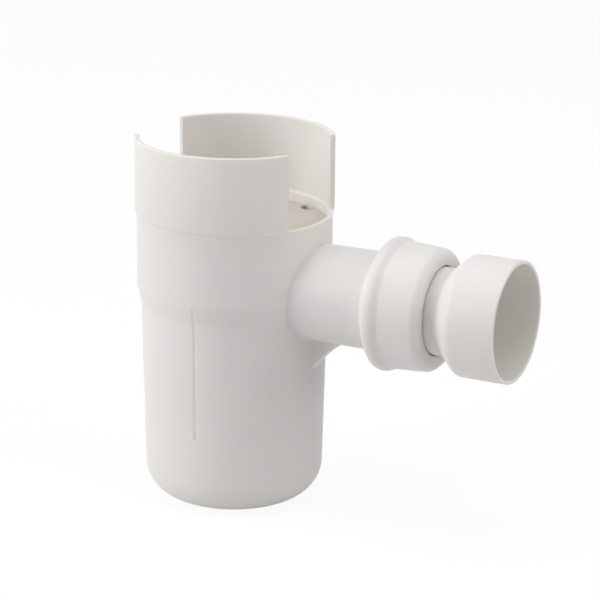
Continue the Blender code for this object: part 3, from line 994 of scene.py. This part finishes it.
def floor_material():
    """A white floor that keeps a faint shadow."""
    material, tree, shader = new_material("studio_floor")
    shader.inputs["Base Color"].default_value = (0.74, 0.74, 0.74, 1.0)
    shader.inputs["Roughness"].default_value = 0.9
    shader.inputs["Specular IOR Level"].default_value = 0.1
    glow = tree.nodes.new("ShaderNodeEmission")
    glow.inputs["Color"].default_value = (1.0, 1.0, 1.0, 1.0)
    glow.inputs["Strength"].default_value = 1.045
    mix = tree.nodes.new("ShaderNodeMixShader")
    glow_share = 0.88
    tree.links.new(add_math(tree, "MULTIPLY", seen_directly(tree), glow_share), mix.inputs["Fac"])
    tree.links.new(shader.outputs["BSDF"], mix.inputs[1])
    tree.links.new(glow.outputs["Emission"], mix.inputs[2])
    tree.links.new(mix.outputs["Shader"], tree.nodes["Material Output"].inputs["Surface"])
    return material


def add_lamp(name, place, size, colour, power):
    """A soft rectangular lamp that points at the trap."""
    deselect_everything()
    bpy.ops.object.light_add(type="AREA", location=place)
    lamp = bpy.context.object
    lamp.name = name
    lamp.data.shape = "RECTANGLE"
    lamp.data.size = size[0]
    lamp.data.size_y = size[1]
    lamp.data.energy = power
    lamp.data.color = colour
    lamp.rotation_euler = (Vector(LAMP_AIM) - Vector(place)).to_track_quat("-Z", "Y").to_euler()


def light_world(strength):
    """White where it is seen, and a plain grey for the light that it gives."""
    world = bpy.data.worlds.new("studio")
    bpy.context.scene.world = world
    world.use_nodes = True
    tree = world.node_tree
    backdrop = tree.nodes["Background"]
    backdrop.inputs["Color"].default_value = (1.0, 1.0, 1.0, 1.0)
    level = add_range(tree, seen_directly(tree), 0.0, 1.0, strength, 1.0)
    tree.links.new(level, backdrop.inputs["Strength"])


class SCENE_OT_trap_stage(Operator):
    """Add the floor, the lamps, the world and the camera"""

    bl_idname = "scene.trap_stage"
    bl_label = "Studio Stage"
    bl_options = {"REGISTER", "UNDO"}

    def execute(self, context):
        stage = context.scene.trap_stage
        deselect_everything()
        bpy.ops.mesh.primitive_plane_add(size=24.0, location=(0.0, 0.0, -0.2 * MM))
        floor = context.object
        floor.name = "studio_floor"
        floor.data.materials.append(floor_material())
        light_world(stage.ambient)
        powers = {"key_lamp": stage.key_power, "fill_lamp": stage.fill_power, "top_lamp": stage.top_power}
        for name, (place, size, colour) in LAMPS.items():
            add_lamp(name, place, size, colour, powers[name])
        bpy.ops.object.camera_add(location=stage.camera_place)
        camera = context.object
        camera.name = "photo_camera"
        camera.data.sensor_width = 36.0
        camera.data.lens = stage.camera_lens
        camera.data.clip_end = 20.0
        heading = Vector(stage.camera_aim).to_track_quat("-Z", "Y")
        camera.rotation_mode = "QUATERNION"
        camera.rotation_quaternion = heading @ Quaternion((0.0, 0.0, 1.0), stage.camera_roll)
        context.scene.camera = camera
        context.scene.view_settings.view_transform = "Standard"
        return {"FINISHED"}


class VIEW3D_PT_trap(Panel):
    """Sizes, finishes and buttons of the trap"""

    bl_label = "Tundish Trap"
    bl_space_type = "VIEW_3D"
    bl_region_type = "UI"
    bl_category = "Trap"

    def draw(self, context):
        layout = self.layout
        for operator in OPERATORS:
            layout.operator(operator.bl_idname)
        for attribute, settings in SETTINGS.items():
            box = layout.box()
            box.label(text=settings.__doc__)
            for name in settings.__annotations__:
                box.prop(getattr(context.scene, attribute), name)


SETTINGS = {
    "trap_shell": TrapShellSettings,
    "trap_branch": TrapBranchSettings,
    "trap_adaptor": TrapAdaptorSettings,
    "trap_insert": TrapInsertSettings,
    "trap_finish": TrapFinishSettings,
    "trap_stage": TrapStageSettings,
}
OPERATORS = (OBJECT_OT_trap_shell, OBJECT_OT_trap_insert, OBJECT_OT_trap_seal, OBJECT_OT_trap_adaptor,
             SCENE_OT_trap_stage)


def register():
    """Add the settings, the operators and the panel."""
    for attribute, settings in SETTINGS.items():
        bpy.utils.register_class(settings)
        setattr(bpy.types.Scene, attribute, PointerProperty(type=settings))
    for operator in OPERATORS:
        bpy.utils.register_class(operator)
    bpy.utils.register_class(VIEW3D_PT_trap)


def unregister():
    """Take away what register added."""
    bpy.utils.unregister_class(VIEW3D_PT_trap)
    for operator in reversed(OPERATORS):
        bpy.utils.unregister_class(operator)
    for attribute, settings in SETTINGS.items():
        delattr(bpy.types.Scene, attribute)
        bpy.utils.unregister_class(settings)


def main():
    """Model every piece and set the stage."""
    register()
    bpy.ops.object.trap_shell()
    bpy.ops.object.trap_insert()
    bpy.ops.object.trap_seal()
    bpy.ops.object.trap_adaptor()
    bpy.ops.scene.trap_stage()
    deselect_everything()


if __name__ == "__main__":
    main()
